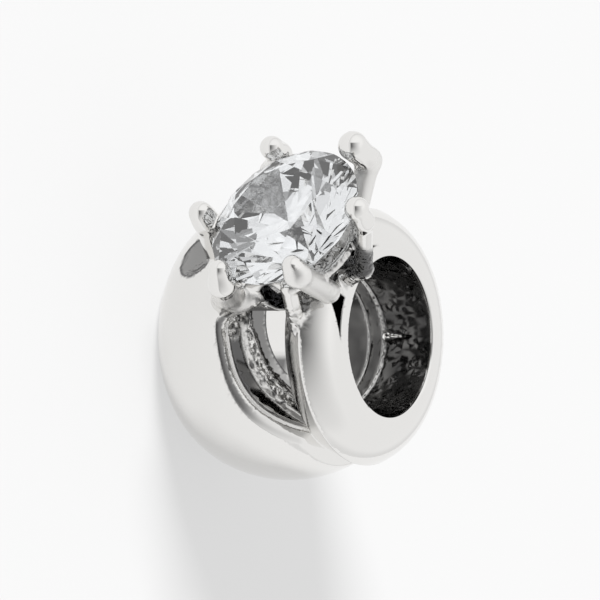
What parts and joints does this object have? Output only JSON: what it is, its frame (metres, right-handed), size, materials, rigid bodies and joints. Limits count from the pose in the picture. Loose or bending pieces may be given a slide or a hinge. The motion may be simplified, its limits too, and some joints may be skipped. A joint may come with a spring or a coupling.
{
  "type": "european charm bead",
  "caption": "Bracelet charm bead: a wide domed band and a slim ring on one open bore, with a round stone in a claw head over the slim ring.",
  "frame": {"origin": "on the bore's axis, midway between the slim ring's flat face and the wide band's flat end", "axes": "+Z along the bore from the wide band to the slim ring, -Y towards the stone, +X across, so that the axes are right-handed"},
  "size_m": [0.0086, 0.0111, 0.0088],
  "materials": {
    "silver": "polished silver outside, dark oxidised as-cast silver in the channel and bore",
    "stone": "clear polished facets"
  },
  "bodies": {
    "root": {"bead_body": "silver", "stone": "stone"}
  },
  "joints": []
}
